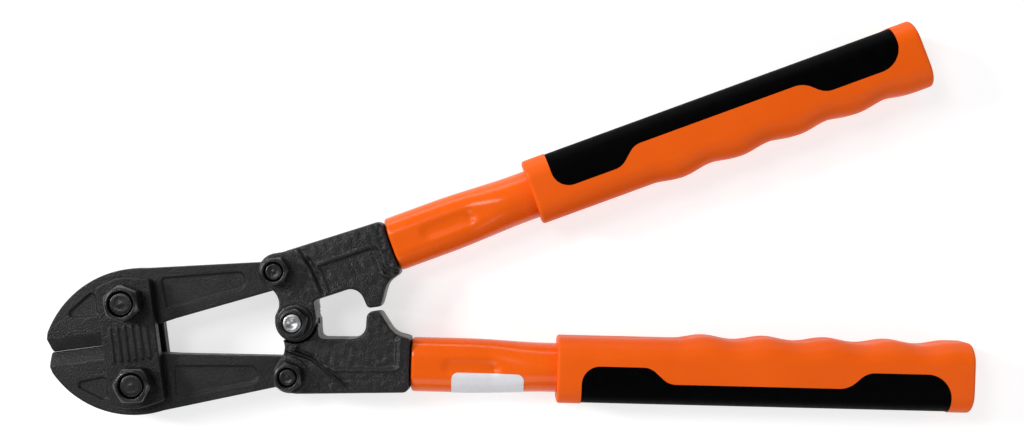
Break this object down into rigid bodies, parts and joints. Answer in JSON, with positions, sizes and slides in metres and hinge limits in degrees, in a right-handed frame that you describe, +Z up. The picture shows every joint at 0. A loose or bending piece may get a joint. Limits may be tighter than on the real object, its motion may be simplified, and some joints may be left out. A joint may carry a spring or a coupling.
{
  "type": "bolt cutters",
  "caption": "Compact bolt cutters: compound-lever head with bevelled jaws and bolted straps, cast black levers, flattened orange tube handles, wavy two-colour grips; everything hinges.",
  "frame": {"origin": "on the axis of the centre bolt, at the underside of its head, which is the level of the bench the tool lies on", "axes": "+X from the head along the tool towards the grips, +Y towards the upper handle, +Z up out of the bench along the pivot axes"},
  "size_m": [0.3046, 0.1311, 0.0248],
  "materials": {
    "jaw_steel": "black phosphated forged steel, satin",
    "strap_steel": "black phosphated steel plate, satin",
    "cast_lever": "matte black paint over a rough casting",
    "black_fasteners": "black oxide, satin",
    "bright_bolt": "bright turned steel",
    "tube_paint": "gloss orange paint",
    "grip_plastic": "satin orange moulding",
    "grip_inlay": "soft matte black",
    "label": "plain white paper label"
  },
  "bodies": {
    "lower_handle": {"lower_lever": "cast_lever", "lower_lever_bolt": "black_fasteners", "lower_lever_nut": "black_fasteners", "centre_bolt": "bright_bolt", "centre_washer": "black_fasteners", "centre_nut": "black_fasteners", "lower_tube": "tube_paint", "lower_grip": "grip_plastic", "lower_grip_insert": "grip_inlay", "tube_label": "label"},
    "upper_handle": {"upper_lever": "cast_lever", "upper_lever_bolt": "black_fasteners", "upper_lever_nut": "black_fasteners", "upper_tube": "tube_paint", "upper_grip": "grip_plastic", "upper_grip_insert": "grip_inlay"},
    "upper_jaw": {"upper_jaw": "jaw_steel"},
    "lower_jaw": {"lower_jaw": "jaw_steel"},
    "straps": {"front_strap": "strap_steel", "rear_strap": "strap_steel", "upper_jaw_bolt": "black_fasteners", "lower_jaw_bolt": "black_fasteners", "upper_jaw_nut": "black_fasteners", "lower_jaw_nut": "black_fasteners"}
  },
  "joints": [
    {"name": "handle_hinge", "type": "hinge", "parent": "lower_handle", "child": "upper_handle", "pos_m": [0, 0, 0.011], "axis": [0, 0, 1], "range_deg": [0, 89.41]},
    {"name": "upper_jaw_hinge", "type": "hinge", "parent": "upper_handle", "child": "upper_jaw", "pos_m": [-0.0041, 0.0174, 0.011], "axis": [0, 0, 1], "range_deg": [-53.8, 0]},
    {"name": "lower_jaw_hinge", "type": "hinge", "parent": "lower_handle", "child": "lower_jaw", "pos_m": [-0.0041, -0.0174, 0.011], "axis": [0, 0, 1], "range_deg": [0, 53.8]},
    {"name": "strap_hinge", "type": "hinge", "parent": "lower_jaw", "child": "straps", "pos_m": [-0.0544, -0.0134, 0.011], "axis": [0, 0, 1], "range_deg": [-9.1, 0]}
  ],
  "couplings": [
    {"joint": "upper_jaw_hinge", "follows": "handle_hinge", "ratio": -0.60066},
    {"joint": "lower_jaw_hinge", "follows": "handle_hinge", "ratio": 0.60066},
    {"joint": "strap_hinge", "follows": "handle_hinge", "ratio": -0.10066}
  ]
}
